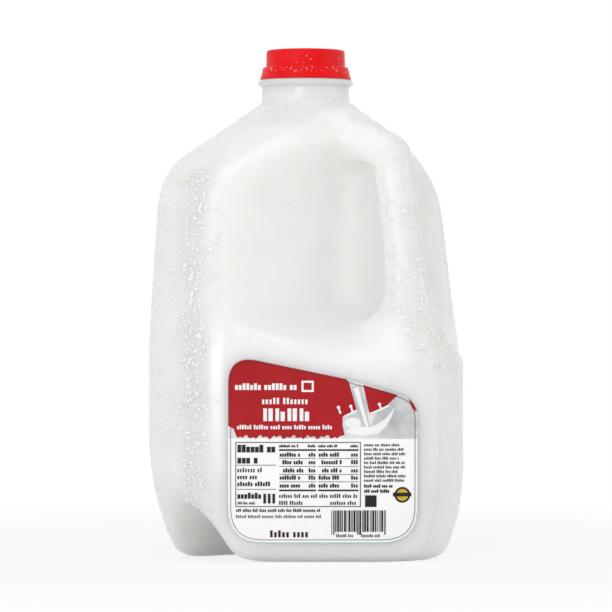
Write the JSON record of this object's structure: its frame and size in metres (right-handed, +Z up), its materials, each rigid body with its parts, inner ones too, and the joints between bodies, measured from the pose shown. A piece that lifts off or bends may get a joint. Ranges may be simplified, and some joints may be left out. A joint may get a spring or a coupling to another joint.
{
  "type": "plastic milk jug",
  "caption": "Square gallon jug of milky white plastic with a moulded corner handle, finger hollow, screw neck, red cap and a wrapped front label",
  "frame": {"origin": "middle of the base, on the surface the jug stands on", "axes": "+Z up through the cap; the label faces -Y; the handle is on the corner towards +X, -Y"},
  "size_m": [0.1566, 0.157, 0.2557],
  "materials": {
    "bottle": "milky translucent blow-moulded plastic, satin gloss, filled with white milk",
    "cap": "bright red moulded plastic",
    "label": "printed film in red, white and pale grey"
  },
  "bodies": {
    "root": {"bottle": "bottle", "cap": "cap", "label": "label"}
  },
  "joints": []
}
